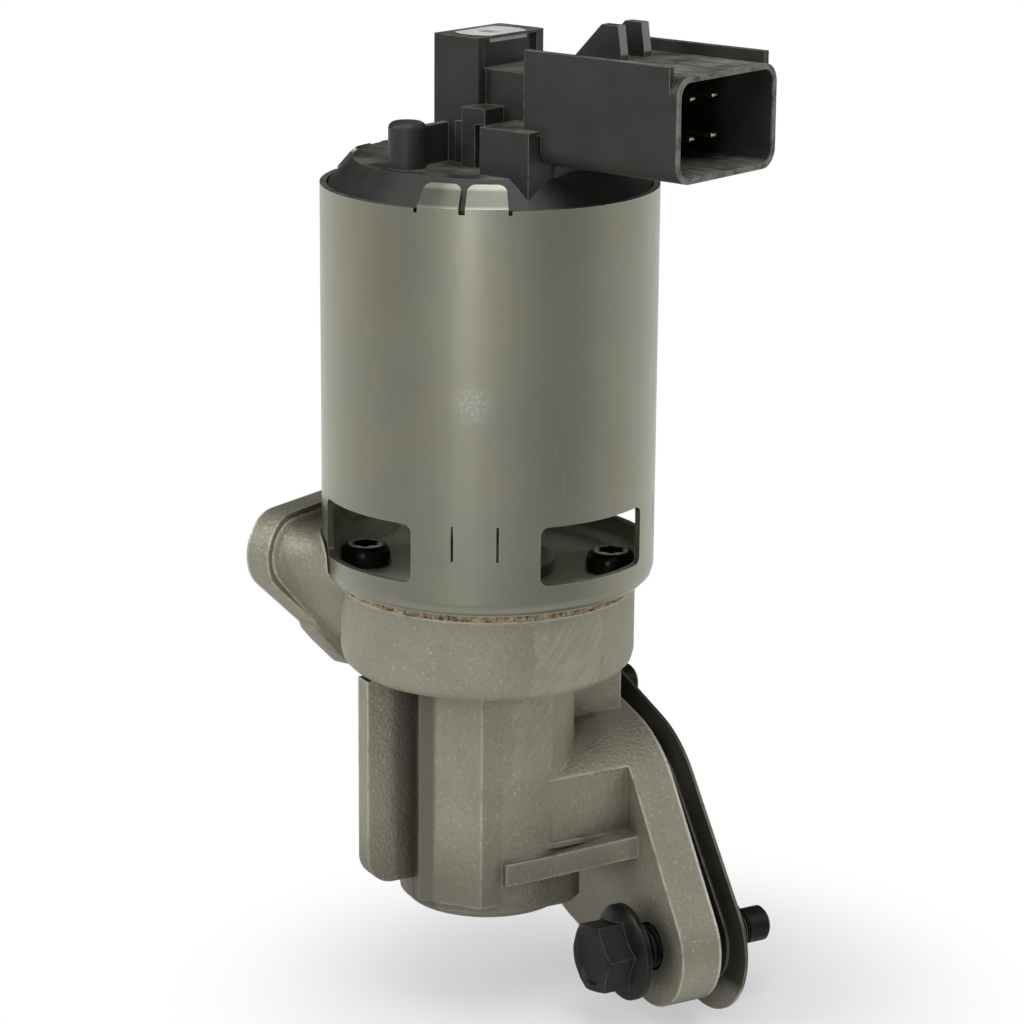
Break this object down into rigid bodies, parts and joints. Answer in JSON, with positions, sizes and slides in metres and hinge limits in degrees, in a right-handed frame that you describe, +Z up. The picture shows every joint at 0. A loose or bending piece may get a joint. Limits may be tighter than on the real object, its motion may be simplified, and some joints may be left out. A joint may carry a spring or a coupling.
{
  "type": "egr valve",
  "caption": "Exhaust gas recirculation valve: cast body with diamond mounting flange and side flange, windowed solenoid can, moulded cap with sensor tower and connector.",
  "frame": {"origin": "middle of the bolt holes in the mounting flange, in the plane of its mounting face", "axes": "+X out of the mounting face, +Z up the valve axis from the cast body to the connector"},
  "size_m": [0.0844, 0.0959, 0.1846],
  "materials": {
    "cast_aluminium": "as cast, blasted",
    "can_steel": "plated, satin",
    "fibre_gasket": "pressed fibre",
    "black_screw": "black coated",
    "black_plastic": "satin glass-filled",
    "terminal_brass": "drawn",
    "plug_white": "moulded",
    "green_sealant": "cured sealant",
    "bolt_black": "black phosphate",
    "gasket_steel": "rolled, coated face",
    "hard_steel": "ground",
    "soft_iron": "turned, plated",
    "stainless": "drawn",
    "brown_nylon": "moulded",
    "copper": "enamelled wire",
    "seal_rubber": "moulded",
    "track_card": "printed card",
    "carrier_plastic": "moulded"
  },
  "bodies": {
    "valve": {"valve_body": "cast_aluminium", "valve_seat_ring": "hard_steel", "base_gasket": "fibre_gasket", "solenoid_can": "can_steel", "base_screws": "black_screw", "stem_guide": "hard_steel", "stem_seal": "seal_rubber", "lower_pole_plate": "soft_iron", "armature_sleeve": "stainless", "coil_bobbin": "brown_nylon", "coil_winding": "copper", "upper_pole_piece": "soft_iron", "coil_leads": "copper", "cap_seal_ring": "seal_rubber", "cap_housing": "black_plastic", "connector_terminals": "terminal_brass", "tower_plug": "plug_white", "plug_sealant": "green_sealant", "sensor_track": "track_card"},
    "moving_valve": {"pintle": "stainless", "armature": "soft_iron", "armature_nut": "hard_steel", "return_spring": "hard_steel", "sensor_plunger": "carrier_plastic", "sensor_wiper": "carrier_plastic", "sensor_spring": "stainless"},
    "upper_bolt": {"mounting_bolt_upper": "bolt_black"},
    "lower_bolt": {"mounting_bolt_lower": "bolt_black"},
    "loose_gasket": {"mounting_gasket": "gasket_steel"}
  },
  "joints": [
    {"name": "valve_lift", "type": "slide", "parent": "valve", "child": "moving_valve", "axis": [0, 0, 1], "range_m": [0, 0.0045], "stiffness_N_per_m": 2000, "springref_m": -0.01, "deforming": ["return_spring", "sensor_spring"]},
    {"name": "upper_bolt_slide", "type": "slide", "parent": "valve", "child": "upper_bolt", "axis": [1, 0, 0], "range_m": [0, 0.0048]},
    {"name": "lower_bolt_slide", "type": "slide", "parent": "valve", "child": "lower_bolt", "axis": [1, 0, 0], "range_m": [0, 0.0048]},
    {"name": "gasket_slide", "type": "slide", "parent": "valve", "child": "loose_gasket", "axis": [1, 0, 0], "range_m": [-0.0034, 0.007]}
  ]
}
